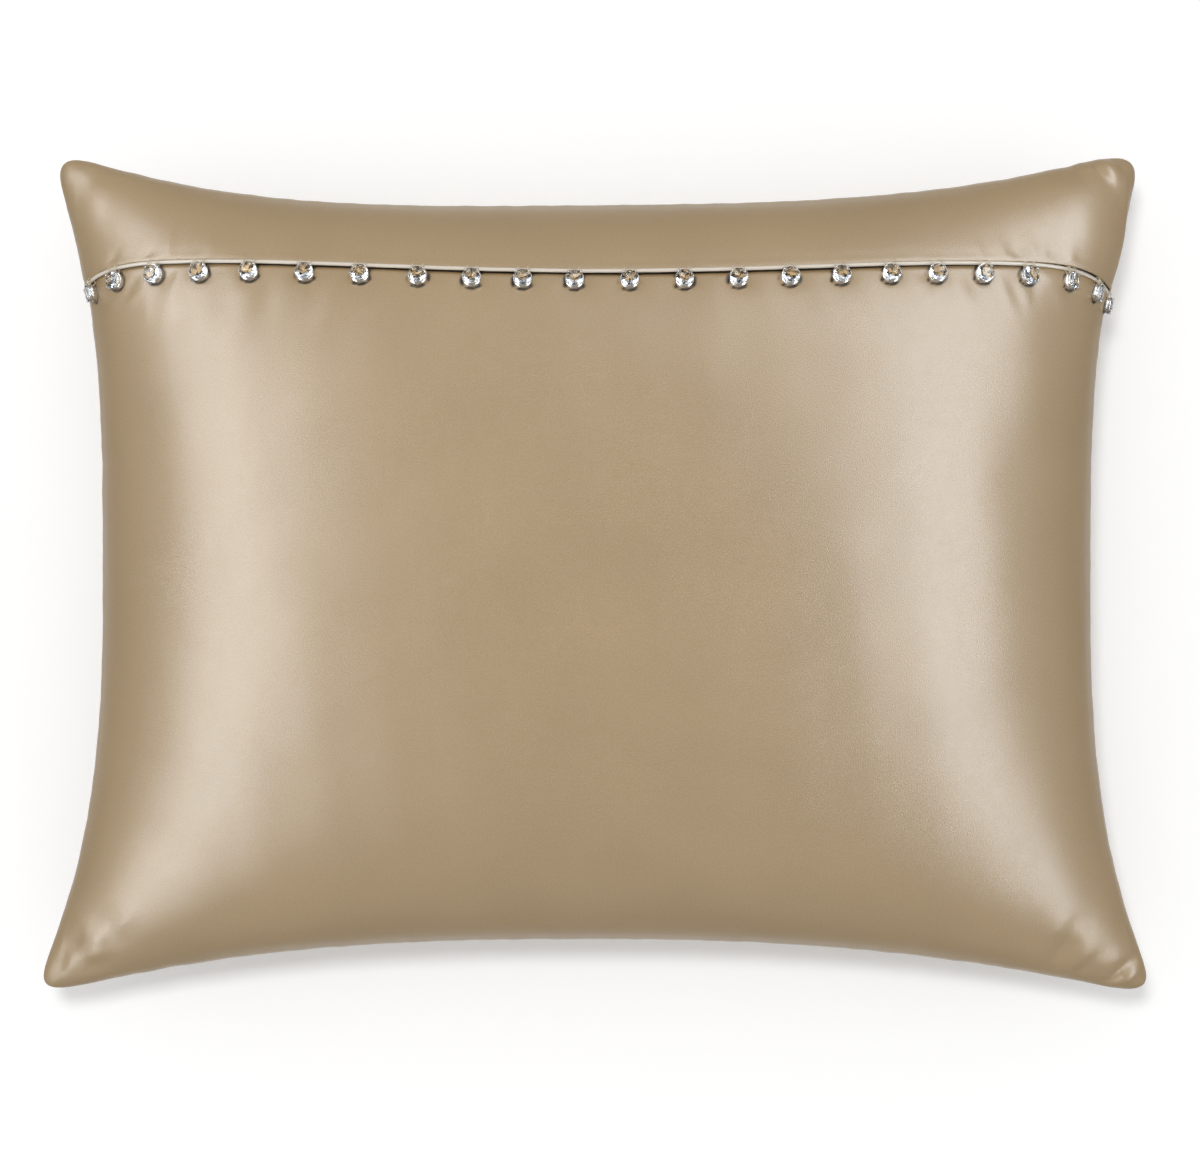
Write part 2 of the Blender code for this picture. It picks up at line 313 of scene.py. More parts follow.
def makeLights():
    for box in softboxes:
        light = bpy.data.lights.new(box.name, "AREA")
        light.shape = "RECTANGLE"
        light.size = box.width
        light.size_y = box.height
        light.energy = box.watts
        if box.mirrors:
            light.color = studio["boxTint"]
        lamp = linkObject(box.name, light)
        lamp.location = (box.x, box.y, box.z)
        aim = Vector((0, 0, studio["aimHeight"])) - lamp.location
        lamp.rotation_euler = aim.to_track_quat("-Z", "Y").to_euler()
        lamp.visible_diffuse = box.lights
        lamp.visible_glossy = box.mirrors


def makeSky():
    world = bpy.data.worlds.new("studio")
    world.use_nodes = True
    tree = world.node_tree
    path = tree.nodes.new("ShaderNodeLightPath").outputs
    facing = tree.nodes.new("ShaderNodeTexCoord").outputs["Generated"]
    level = addNode(tree, "ShaderNodeSeparateXYZ", i0=facing).outputs["Z"]
    below = mapRange(tree, level, *studio["belowFrom"], studio["skyInGloss"], studio["belowInGloss"])
    ground = mapRange(tree, level, *studio["groundFrom"], 0, studio["groundInGloss"])
    mirrored = mathNode(tree, "ADD", below, ground)
    strength = mapRange(tree, path["Is Glossy Ray"], 0, 1, studio["sky"], mirrored)
    clutter = addNode(tree, "ShaderNodeTexNoise", Vector=facing, Scale=studio["patches"]).outputs["Fac"]
    patches = mapRange(tree, clutter, *studio["patchEdge"], *studio["skyInJewels"])
    glow = tree.nodes["Background"].inputs
    setSocket(tree, glow["Color"], (*studio["skyTint"], 1))
    setSocket(tree, glow["Strength"], mapRange(tree, path["Is Transmission Ray"], 0, 1, strength, patches))
    bpy.context.scene.world = world
    bpy.context.scene.view_settings.view_transform = "Standard"


def makeFloor():
    bm = bmesh.new()
    bmesh.ops.create_grid(bm, x_segments=1, y_segments=1, size=studio["floorSize"])
    mesh = meshOf("floor", bm)
    floor = linkObject("floor", mesh)
    mesh.transform(Matrix.Translation((0, 0, -studio["floorDrop"])))
    floor.visible_glossy = False
    material, tree = newMaterial("floor paper")
    seen = tree.nodes.new("ShaderNodeLightPath").outputs["Is Camera Ray"]
    setShader(tree, {
        "Base Color": (*[studio["floor"]] * 3, 1),
        "Roughness": 0.9,
        "Specular IOR Level": 0.1,
        "Emission Color": (1, 1, 1, 1),
        "Emission Strength": mathNode(tree, "MULTIPLY", seen, studio["floorGlow"]),
    })
    mesh.materials.append(material)


makeCamera()
makeLights()
makeSky()
makeFloor()
print("studio ready")


def newGroup(name, *sizes):
    tree = bpy.data.node_groups.new(name, "ShaderNodeTree")
    tree.interface.new_socket("Vector", in_out="INPUT", socket_type="NodeSocketVector")
    for label in sizes:
        tree.interface.new_socket(label, in_out="INPUT", socket_type="NodeSocketFloat")
    return tree, tree.nodes.new("NodeGroupInput").outputs


def closeGroup(tree, **results):
    for label in results:
        tree.interface.new_socket(label, in_out="OUTPUT", socket_type="NodeSocketFloat")
    addNode(tree, "NodeGroupOutput", **results)
    return tree


def makeSatinWeave():  # yarns both ways, per metre, and how many times longer than wide each slub is
    tree, start = newGroup("satin weave", "Yarns", "Slub")
    parts = addNode(tree, "ShaderNodeSeparateXYZ", i0=start["Vector"]).outputs
    along = mathNode(tree, "DIVIDE", start["Yarns"], start["Slub"])
    fineX, fineY = (mathNode(tree, "MULTIPLY", part, start["Yarns"]) for part in parts[:2])
    longX, longY = (mathNode(tree, "MULTIPLY", part, along) for part in parts[:2])
    warp = addNode(tree, "ShaderNodeCombineXYZ", i0=fineX, i1=longY).outputs[0]
    weft = addNode(tree, "ShaderNodeCombineXYZ", i0=longX, i1=fineY, i2=3.7).outputs[0]
    streak = noise(tree, warp, 1.0, 2.0, 0.6)
    cross = noise(tree, weft, 0.8, 1.0, 0.5)
    height = mathNode(tree, "MULTIPLY_ADD", streak, 0.65, mathNode(tree, "MULTIPLY", cross, 0.35))
    return closeGroup(tree, Height=height, Cross=cross)


def makeMottle():  # patches per metre, and finer ones
    tree, start = newGroup("soft mottle", "Patches")
    tight = mathNode(tree, "MULTIPLY", start["Patches"], 9.0)
    broad = noise(tree, start["Vector"], start["Patches"], 1.0, 0.45)
    return closeGroup(tree, Broad=broad, Fine=noise(tree, start["Vector"], tight, 2.0, 0.6))


def makeHandling():  # marks per metre, and the roughness from clean to marked
    tree, start = newGroup("handling wear", "Marks", "Low", "High")
    marks = noise(tree, start["Vector"], start["Marks"], 5.0, 0.65)
    rough = mapRange(tree, marks, 0.3, 0.7, start["Low"], start["High"])
    return closeGroup(tree, Roughness=rough, Marks=marks)


groups = {"weave": makeSatinWeave(), "mottle": makeMottle(), "handling": makeHandling()}


def useGroup(tree, group, **values):
    return addNode(tree, "ShaderNodeGroup", {"node_tree": groups[group]}, **values).outputs


def useCloth(tree, look):
    place = addNode(tree, "ShaderNodeUVMap", {"uv_map": "cloth"}).outputs[0]
    weave = useGroup(tree, "weave", Vector=place, Yarns=look["yarns"], Slub=look["slub"])
    return weave, useGroup(tree, "mottle", Vector=place, Patches=look["patches"])


satinFinish = {
    "color": (0.4592, 0.32032, 0.17024),
    "deep": (0.352, 0.24, 0.118),
    "roughness": 0.285,
    "roughVaries": 0.1,
    "glint": 0.16,  # how much the yarns vary it
    "ior": 1.8,
    "specular": 0.7,
    "paintedShadeColor": (0.02, 0.012, 0.006),  # painted shade, in the nooks by the piping and the jewels
    "nook": (0.25, 0.8),
    "yarns": 1650.0,
    "slub": 1.3,
    "grain": 3.0,
    "patches": 16.0,
    "patchShare": 0.5,
    "bump": (0.42, 0.0004),  # strength and height in metres, as in the others below
}


def makeSatin():
    look = satinFinish
    material, tree = newMaterial("champagne satin")
    weave, mottle = useCloth(tree, look)
    yarn = mathNode(tree, "SUBTRACT", weave["Height"], 0.5)
    shade = mathNode(tree, "MULTIPLY_ADD", yarn, look["grain"], 0.5)
    patch = mathNode(tree, "MULTIPLY_ADD", mottle["Broad"], look["patchShare"], -look["patchShare"] / 2)
    shade = mathNode(tree, "ADD", shade, patch, clamp=True)
    color = mixColor(tree, shade, (*look["deep"], 1), (*look["color"], 1))
    # painted shade: the cloth's colour is darkened where contact shadow would fall, under the piping and
    # round the jewels' feet
    nook = addNode(tree, "ShaderNodeAttribute", {"attribute_name": "nook"}).outputs["Fac"]
    paintedShadeMix = mapRange(tree, nook, *look["nook"], 0, 1, "SMOOTHSTEP")
    rough = mathNode(tree, "MULTIPLY_ADD", mottle["Fine"], look["roughVaries"], look["roughness"])
    setShader(tree, {
        "Base Color": mixColor(tree, paintedShadeMix, color, (*look["paintedShadeColor"], 1)),
        "Roughness": mathNode(tree, "MULTIPLY_ADD", yarn, look["glint"], rough),
        "Specular IOR Level": look["specular"],
        "IOR": look["ior"],
        "Normal": bump(tree, weave["Height"], *look["bump"]),
    })
    return material


pipingFinish = {
    "color": (0.8, 0.74, 0.65),
    "shade": (0.64, 0.57, 0.47),
    "roughness": 0.24,
    "roughVaries": 0.12,
    "specular": 0.7,
    "yarns": 2600.0,
    "slub": 5.0,
    "patches": 120.0,
    "patchShare": 0.4,
    "bump": (0.35, 0.0002),
}


def makePipingSatin():
    look = pipingFinish
    material, tree = newMaterial("piping satin")
    weave, mottle = useCloth(tree, look)
    patch = mathNode(tree, "MULTIPLY", mottle["Broad"], look["patchShare"])
    mixed = mathNode(tree, "MULTIPLY_ADD", weave["Cross"], 1 - look["patchShare"], patch, clamp=True)
    setShader(tree, {
        "Base Color": mixColor(tree, mixed, (*look["shade"], 1), (*look["color"], 1)),
        "Roughness": mathNode(tree, "MULTIPLY_ADD", mottle["Fine"], look["roughVaries"], look["roughness"]),
        "Specular IOR Level": look["specular"],
        "Normal": bump(tree, weave["Height"], *look["bump"]),
    })
    return material


threadFinish = {
    "dark": (0.5, 0.4, 0.27),
    "light": (0.8, 0.7, 0.53),
    "marks": 2400.0,
    "roughness": (0.45, 0.7),
    "bump": (0.3, 0.0001),
}
silverFinish = {
    "dark": (0.7, 0.67, 0.62),
    "light": (0.9, 0.88, 0.84),
    "marks": 1400.0,
    "roughness": (0.12, 0.3),
    "bump": (0.08, 0.0001),
}
crystalFinish = {
    "dark": (0.94, 0.95, 0.97),
    "light": (0.99, 0.99, 1.0),
    "marks": 500.0,
    "roughness": (0.01, 0.05),
    "ior": 1.56,
    "shadow": (0.97, 0.96, 0.94),  # light passes straight through, a little dimmed
}


def makeHandled(name, look, **constants):
    material, tree = newMaterial(name)
    place = addNode(tree, "ShaderNodeTexCoord").outputs["Object"]
    low, high = look["roughness"]
    wear = useGroup(tree, "handling", Vector=place, Marks=look["marks"], Low=low, High=high)
    color = mixColor(tree, wear["Marks"], (*look["dark"], 1), (*look["light"], 1))
    setShader(tree, {"Base Color": color, "Roughness": wear["Roughness"], **constants})
    if "bump" in look:
        setShader(tree, {"Normal": bump(tree, wear["Marks"], *look["bump"])})
    return material, tree, color


def makeCrystal():
    constants = {"Metallic": 0.0, "Transmission Weight": 1.0, "IOR": crystalFinish["ior"]}
    material, tree, worn = makeHandled("clear crystal", crystalFinish, **constants)
    # painted reflections: the colour set on each facet tints or darkens what the clear glass shows
    facetLight = addNode(tree, "ShaderNodeAttribute", {"attribute_name": "facet tint"}).outputs["Color"]
    setShader(tree, {"Base Color": mixColor(tree, 1.0, facetLight, worn, "MULTIPLY")})
    shadow = tree.nodes.new("ShaderNodeLightPath").outputs["Is Shadow Ray"]
    clear = addNode(tree, "ShaderNodeBsdfTransparent", Color=(*crystalFinish["shadow"], 1)).outputs[0]
    glass = tree.nodes["Principled BSDF"].outputs[0]
    mixed = addNode(tree, "ShaderNodeMixShader", Fac=shadow, i1=glass, i2=clear).outputs[0]
    tree.links.new(mixed, tree.nodes["Material Output"].inputs["Surface"])
    return material


finishes = {
    "satin": makeSatin(),
    "piping": makePipingSatin(),
    "thread": makeHandled("cream thread", threadFinish)[0],
    "silver": makeHandled("setting silver", silverFinish, Metallic=1.0)[0],
    "crystal": makeCrystal(),
}
print("finishes ready:", ", ".join(finishes))


Sewn = namedtuple("Sewn", "x lean droop")
straight = (-222, -193.5, -161.8, -130.8, -98.3, -68.2, -39.8, -11, 19.6, 50, 80.1, 109, 137.6, 165.6, 191.6)
sewn = (  # where each jewel hangs along the trim and how it lies; jewelSeat has the last one
    Sewn(-0.2882, -17, 0),
    Sewn(-0.2724, -10, 4),
    Sewn(-0.2484, -3, 8),
    *(Sewn(place / 1000, 0, 10) for place in straight),
    Sewn(0.2183, 2, 9),
    Sewn(0.2442, 10, 6),
    Sewn(0.269, 24, 3),
    Sewn(0.2866, 22, 2),
)
jewelSeat = {
    "lastAngle": 86,  # the last jewel hangs just past the right seam
    "last": Sewn(None, 8, 0),
    "drop": 0.00275,
    "rest": 0.00035,
    "leanShare": 0.85,
    "ring": 0.0053,
}

trimFolds = folds(  # below the trim, from left to right
    (-261.8, 163.8, 58, 8.4, 3.2, -0.51), (-260.7, 156.8, 45, 8.4, 3.9, 0.42),
    (-273.3, 154.3, 60, 7.2, 3.9, 0.34), (-239.8, 167.7, 53, 9.7, 3.4, -0.51),
    (-254.2, 154.2, 88, 9.7, 5.3, 0.3), (-240.7, 153.1, 85, 8.4, 5.3, 0.25),
    (-234.5, 164.4, 80, 13.2, 5.5, 0.34), (-232.3, 149, 85, 14.5, 6.6, -0.3),
    (-212.2, 169.4, 40, 8.4, 3.4, -0.38), (-209.2, 153.4, 83, 20.6, 6.6, -0.34),
    (-193.4, 158, 78, 16.9, 6.1, 0.3), (-182.2, 157.6, 80, 16.9, 6.6, -0.3),
    (-176, 164, 70, 10.8, 5.3, 0.21), (-146.7, 156, 72, 24.2, 6.6, 0.3),
    (-157, 158, 70, 18.1, 7.2, -0.25), (-114, 158, 62, 18.1, 6, 0.25), (-123, 159, 62, 15.6, 6.6, -0.21),
    (-83, 159, 74, 18.1, 5.3, 0.21), (-54, 160, 80, 14.5, 5.3, 0.13), (-25, 159, 86, 14.5, 5.3, 0.13),
    (5, 159, 92, 14.5, 5.3, 0.13), (36, 159, 95, 14.5, 5.3, 0.13), (66, 159, 98, 15.6, 5.3, 0.17),
    (96, 160, 100, 15.6, 5.5, 0.17), (125, 160, 104, 16.9, 5.5, 0.21), (153, 160, 108, 16.9, 6, 0.2),
    (184, 168.4, -45, 10.8, 3.7, -0.38), (183.5, 154.3, -62, 10.8, 6, 0.2),
    (194.7, 153.1, -68, 9.7, 5.8, -0.2), (206, 157.4, -56, 10.8, 4.7, 0.3),
    (211.6, 161.3, -54, 7.2, 3.5, -0.3), (230.2, 159.6, -67, 13.2, 3.2, 0.3),
    (236.7, 159.3, -70, 8.4, 4.1, -0.3), (242.7, 157.4, -73, 9.7, 3.2, 0.27),
    (247.4, 157.6, 80, 7.2, 3.2, -0.24), (264, 156, -75, 8.4, 4.1, 0.24),
)

flapFolds = folds(  # above the piping, where its seam gathers the flap
    (-241, 184, 78, 10.3, 3.4, 0.51), (-216, 183, 60, 6.9, 3.4, 0.42), (-253, 179, 70, 5.7, 3, -0.51),
    (-274, 178, 60, 5.7, 3, -0.51), (-144, 184, 72, 13.8, 4.6, 0.34), (-111, 182, 66, 12.6, 4.6, 0.25),
    (217, 179, 110, 6.9, 3.4, 0.42), (230, 180, 108, 6.9, 3.4, 0.42), (248, 179, 105, 8, 3.2, 0.51),
    (254, 178, 100, 6.9, 3, 0.42), (269, 175, 95, 6.9, 3, 0.51), (239, 180, 105, 8, 3.4, -0.42),
)

cornerCreases = folds(  # finer than the solids' folds
    (262.1, -201.9, 42, 9.6, 5, 0.82), (267.4, -214, 60, 10.8, 3.7, -1.1),
    (275.3, -206.5, 20, 7.2, 4.4, 0.69), (280, -218.6, 55, 9.6, 4.4, 0.82),
    (279.4, -227.8, 40, 8.4, 3.5, -0.82), (289.7, -224.9, 35, 8.4, 3.7, 0.69),
    (-300.5, -220.9, 50, 13.2, 4, 0.82), (-286.2, -219.1, 10, 7.2, 4.4, 0.69),
    (-282.7, -207.6, 60, 9.6, 4.4, 0.76), (-270.1, -200.1, 45, 10.8, 5, 0.69),
    (-305.8, -225.5, 50, 7.2, 3.5, -0.82), (-296.6, -212.8, 70, 7.2, 3.7, -0.82),
    (-283.3, -223.8, 20, 9.6, 4, -0.82), (-290.9, 233.6, 50, 9.6, 5.6, 0.69),
    (-299, 228, 70, 7.2, 4.4, -0.61), (-280, 232, 30, 9.6, 5, -0.61),
    (294.5, 233.6, -50, 8.4, 3.1, 0.96), (280.5, 232.4, -65, 7.2, 2.8, 0.69),
    (284.6, 231.3, -62, 6, 2.5, 0.69), (275.9, 230.1, -60, 8.4, 3.2, -0.69),
)

swells = folds(  # where the filling pushes the cloth out
    (286, 196, 90, 33, 28, 5.4), (245, 110, 90, 40, 28, 1.4),
)

reliefSizes = {
    "allowance": 0.0145,  # the turned-in seam allowance's reach
    "allowanceRise": 0.00032,
    "allowanceEdge": 0.0008,
    "seamGroove": 0.0006,
    "seamGrooveWidth": 0.0014,
    "pucker": 0.0003,
    "puckerReach": 0.02,
    "puckerFrom": 0.004,  # the thread itself holds the cloth flat up to here
    "sidePuckers": (46, 11),  # waves in a metre and seed; other noises also give octaves
    "endPuckers": (46, 12),
    "unevenness": 0.0004,
    "unevenFrom": (0.004, 0.03),
    "unevenNoise": (11, 13, 2),
    "restFade": (0.012, 0.001),  # where the resting cloth turns smooth
    "gathersFrom": (0.0005, 0.006),  # these bounds are distances from the trim line
    "underFlap": 0.0008,
    "underFlapFrom": (0.001, 0.004),
    "tuck": 0.0013,
    "tuckFrom": (-0.0038, -0.0014),
    "tuckTo": (0.002, 0.006),
    "pipingAt": -0.002,
    "pipingWidth": 0.003,
    "pipingShare": 0.9,  # how much of any rise is held down there
    "hem": 0.00012,
    "hemAt": 0.0045,
    "hemWidth": 0.0026,
    "hemVaries": 0.8,
    "hemNoise": (60, 21, 2),
    "ticksFrom": (0.0, 0.004),
    "jewelDent": 0.0009,
    "jewelDentWidth": 0.007,
}


paintedShadeSizes = {  # painted shade: where little light reaches the cloth, for darkening its colour there
    "pipingEdge": 0.001,
    "lineReach": 0.0016,
    "ring": 0.0055,  # round each jewel's foot, moved down and towards the middle
    "ringReach": 0.002,
    "down": 0.0006,
    "inward": 0.0005,
    "inwardFrom": 0.22,
    "leastTilt": 0.3,
}


def softNoise(x, y, perMetre, seed, octaves=3):
    draw = np.random.RandomState(seed)
    total = np.zeros_like(x)
    weight = 1.0
    for octave in range(octaves):
        for _ in range(5):
            angle = draw.uniform(0, math.tau)
            phase = draw.uniform(0, math.tau)
            pitch = math.tau * perMetre * 1.9**octave * draw.uniform(0.75, 1.3)
            total += weight * np.sin(pitch * (x * math.cos(angle) + y * math.sin(angle)) + phase)
        weight *= 0.5
    return total / 5


def smoothStep(value, low, high):
    share = np.clip((value - low) / (high - low), 0, 1)
    return share * share * (3 - 2 * share)


def seamDistance(turnX, turnY, height):
    s, t = np.abs(np.sin(turnX)), np.abs(np.sin(turnY))
    sideways, endways = (1 - s) * sides["left"].middle, (1 - t) * sides["foot"].middle
    nearest = np.minimum(sideways, endways)
    sideShare = endways**2 / (sideways**2 + endways**2 + 1e-12)
    return np.sqrt(nearest**2 + height**2), sideShare


def clothRelief(turnX, turnY, points):
    x, y, z = points[..., 0], points[..., 1], points[..., 2]
    front = np.cos(turnX) >= -1e-9
    height = np.abs(z)
    distance, sideShare = seamDistance(turnX, turnY, height)
    size = reliefSizes
    ridge = size["allowanceRise"] / (1 + np.exp((distance - size["allowance"]) / size["allowanceEdge"]))
    groove = -size["seamGroove"] * np.exp(-((distance / size["seamGrooveWidth"]) ** 2))
    onSide = softNoise(y, 0.3 * x, *size["sidePuckers"])
    onEnd = softNoise(x, 0.3 * y, *size["endPuckers"])
    gather = onSide * sideShare + onEnd * (1 - sideShare)
    pucker = size["pucker"] * gather * np.exp(-((distance / size["puckerReach"]) ** 2))
    pucker *= smoothStep(distance, 0, size["puckerFrom"])
    uneven = size["unevenness"] * softNoise(x, y + 0.4 * z, *size["unevenNoise"])
    uneven *= smoothStep(height, *size["unevenFrom"])
    fade = np.minimum(1, height / shamShape["foldFade"])
    creases = fade * foldHeight(x, y, cornerCreases + swells) * front
    total = ridge + groove + pucker + uneven + creases
    resting = 1 - smoothStep(-z, *(shamShape["restDepth"] - fade for fade in size["restFade"]))
    return total * np.where(front, 1.0, resting)


def jewelTurns():
    wanted = np.array([place.x for place in sewn])
    low, high = np.full_like(wanted, -quarter), np.full_like(wanted, quarter)
    for _ in range(40):
        middle = (low + high) / 2
        short = clothPoint(middle, trimAngle(middle))[:, 0] < wanted
        low, high = np.where(short, middle, low), np.where(short, high, middle)
    return np.append((low + high) / 2, math.radians(jewelSeat["lastAngle"]))


jewelPoint, jewelAlong, jewelUp, jewelOut = trimFrame(jewelTurns())
jewelCentres = jewelPoint - (jewelSeat["drop"] + jewelSeat["ring"]) * jewelUp


def jewelMatrices():
    places = []
    for number, jewel in enumerate((*sewn, jewelSeat["last"])):
        lean, droop = math.radians(jewel.lean), math.radians(jewel.droop)
        raised = math.sin(droop) + jewelSeat["leanShare"] * abs(math.sin(lean))
        lift = jewelSeat["rest"] + jewelSeat["ring"] * raised
        place = Matrix((jewelAlong[number], jewelUp[number], jewelOut[number])).transposed().to_4x4()
        place.translation = Vector(jewelCentres[number] + lift * jewelOut[number] + standing)
        places.append(place @ Matrix.Rotation(lean, 4, "Y") @ Matrix.Rotation(droop, 4, "X"))
    return places


jewelPlaces = jewelMatrices()


def bodyRelief(turnX, turnY, points):
    x, y, z = points[..., 0], points[..., 1], points[..., 2]
    front = np.cos(turnX) >= -1e-9
    size = reliefSizes
    total = clothRelief(turnX, turnY, points)
    above = y - trimLine(x)
    seamFade = np.minimum(1, np.abs(z) / shamShape["foldFade"])
    gathers = foldHeight(x, y, trimFolds) * smoothStep(-above, *size["gathersFrom"])
    nearest = np.full(x.shape, 1.0)
    for centre in jewelCentres[:-1]:  # the last one lies off the cloth
        nearest = np.minimum(nearest, (x - centre[0]) ** 2 + (y - centre[1]) ** 2 + (z - centre[2]) ** 2)
    press = np.exp(-nearest / size["jewelDentWidth"] ** 2)
    gathers = np.where(gathers > 0, gathers * (1 - press), gathers)
    tuck = -size["tuck"] * smoothStep(above, *size["tuckFrom"]) * (1 - smoothStep(above, *size["tuckTo"]))
    total = total + front * seamFade * (gathers + tuck - size["jewelDent"] * press)
    piping = np.exp(-(((above - size["pipingAt"]) / size["pipingWidth"]) ** 2)) * front
    total = np.where(total > 0, total * (1 - size["pipingShare"] * piping), total)
    hidden = smoothStep(above, *size["underFlapFrom"]) * seamFade * front
    return total - hidden * size["underFlap"]


# painted shade: a mask that is highest just under the piping and in a ring round each jewel's foot, on the
# front only
def paintedShadeMask(turnX, points):
    size = paintedShadeSizes
    above = points[:, 1] - trimLine(points[:, 0])
    shade = np.clip(1 + (above + size["pipingEdge"]) / size["lineReach"], 0, 1)
    for place in jewelPlaces:
        axis = np.array(place.to_3x3().col[2])
        foot = np.array(place.translation)[:2] - standing[:2]
        inward = size["inward"] * min(1, abs(foot[0]) / size["inwardFrom"])
        foot = foot - (np.sign(foot[0]) * inward, size["down"])
        away = points[:, :2] - foot
        tilt = axis[:2] / max(1e-6, np.linalg.norm(axis[:2]))
        steep = away @ tilt
        reach = np.sqrt(np.sum(away**2, axis=1) + steep**2 * (1 / max(size["leastTilt"], axis[2]) ** 2 - 1))
        shade = np.maximum(shade, np.clip(1 - np.abs(reach - size["ring"]) / size["ringReach"], 0, 1))
    return np.where(np.cos(turnX) >= -1e-9, shade, 0.0)


def flapRelief(turnX, turnY, points):
    x, y = points[..., 0], points[..., 1]
    size = reliefSizes
    above = y - trimLine(x)
    seamFade = np.minimum(1, np.abs(points[..., 2]) / shamShape["foldFade"])
    ticks = foldHeight(x, y, flapFolds)
    varied = 1 + size["hemVaries"] * softNoise(x, y, *size["hemNoise"])
    hem = -size["hem"] * np.exp(-(((above - size["hemAt"]) / size["hemWidth"]) ** 2)) * varied
    gathers = seamFade * (ticks + hem) * smoothStep(above, *size["ticksFrom"])
    return clothRelief(turnX, turnY, points) + gathers


def arcTables():  # lengths along each face's middle lines, for laying its UVs out true to size
    turns = np.linspace(-quarter, quarter, 241)
    level = np.zeros_like(turns)
    tables = {}
    for face, across, along in (("front", turns, level), ("back", math.pi - turns, level + math.pi)):
        lengths = []
        for line in (clothPoint(across, level), clothPoint(along, turns)):
            steps = np.concatenate([[0], np.cumsum(np.linalg.norm(np.diff(line, axis=0), axis=1))])
            lengths.append(steps - steps[-1] / 2)
        tables[face] = lengths
    return turns, tables


arcTurns, arcs = arcTables()


def loopVerts(mesh):
    loops = np.zeros(len(mesh.loops), dtype=np.int32)
    mesh.loops.foreach_get("vertex_index", loops)
    return loops


def addUv(mesh, turnX, turnY, backFaces):
    loops = loopVerts(mesh)
    onBack = np.repeat(backFaces, 4)
    flatX = np.where(np.cos(turnX) < -1e-9, math.pi - turnX, turnX)
    uv = np.zeros((len(loops), 2))
    for face, chosen in (("front", ~onBack), ("back", onBack)):
        index = loops[chosen]
        uv[chosen, 0] = np.interp(flatX[index], arcTurns, arcs[face][0])
        uv[chosen, 1] = np.interp(turnY[index], arcTurns, arcs[face][1])
    uv[onBack, 0] += 1.0
    mesh.uv_layers.new(name="cloth").data.foreach_set("uv", uv.ravel())


def clothMesh(name, points, faces):
    mesh = bpy.data.meshes.new(name)
    mesh.from_pydata((points + standing).tolist(), [], faces)
    mesh.update()
    return mesh


def newPiece(name, mesh, finish, smooth=True):
    mesh.materials.clear()
    mesh.materials.append(finishes[finish])
    mesh.shade_smooth() if smooth else mesh.shade_flat()
    mesh.update()
    return linkObject(name, mesh)


def quads(sheet, over=False):  # a grid's faces from its vertex numbers, turned over for an underside
    corners = (sheet[:-1, :-1], sheet[:-1, 1:], sheet[1:, 1:], sheet[1:, :-1])
    return np.stack([corner.ravel() for corner in (corners[::-1] if over else corners)], axis=1)


bodyMake = {
    "columns": 288,
    "rowsAbove": 24,  # under the flap
    "rowsNear": 26,  # just below the trim, where its folds are
    "rowsBelow": 92,
    "nearTurn": 0.22,
    "fill": 0.75,
}


def makeBody():
    size = bodyMake
    turnX = np.linspace(-quarter, quarter, size["columns"] + 1)
    trim = trimAngle(turnX)
    near = trim - size["nearTurn"]
    below = rowsBetween(-quarter, near, size["rowsBelow"])[:-1]
    gridY = np.concatenate([
        below, rowsBetween(near, trim, size["rowsNear"]), rowsBetween(trim, quarter, size["rowsAbove"])[1:]])
    gridX = np.broadcast_to(turnX, gridY.shape)
    front = np.arange(gridY.size).reshape(gridY.shape)
    back = front.copy()
    inside = (slice(1, -1), slice(1, -1))
    back[inside] = gridY.size + np.arange(back[inside].size).reshape(back[inside].shape)
    faces = [quads(front), quads(back, over=True)]
    backMask = np.repeat([False, True], len(faces[0]))
    turnX = np.concatenate([gridX.ravel(), math.pi - gridX[inside].ravel()])
    turnY = np.concatenate([gridY.ravel(), gridY[inside].ravel()])
    points = clothPoint(turnX, turnY)
    final = points + clothNormal(turnX, turnY) * bodyRelief(turnX, turnY, points)[:, None]
    final[:, 2] = np.maximum(final[:, 2], -shamShape["restDepth"])
    mesh = clothMesh("sham cloth", final, np.concatenate(faces).tolist())
    addUv(mesh, turnX, turnY, backMask)
    # the painted shade mask, kept on the cloth for its material
    nook = mesh.attributes.new("nook", "FLOAT", "POINT")
    nook.data.foreach_set("value", paintedShadeMask(turnX, points))
    return newPiece("shamCloth", mesh, "satin")


shamCloth = makeBody()
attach(shamCloth, "root")
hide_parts("sham_body")
print("sham cloth:", len(shamCloth.data.polygons), "faces")


flapMake = {
    "columns": 420,
    "rows": 64,
    "rowsCrowd": 1.25,  # rows lie closer near the piping
    "thickness": 0.0012,
    "gap": 0.0003,
    "edge": 0.0011,
    "edgeShare": 0.45,
    "trimMargin": 0.0004,
}


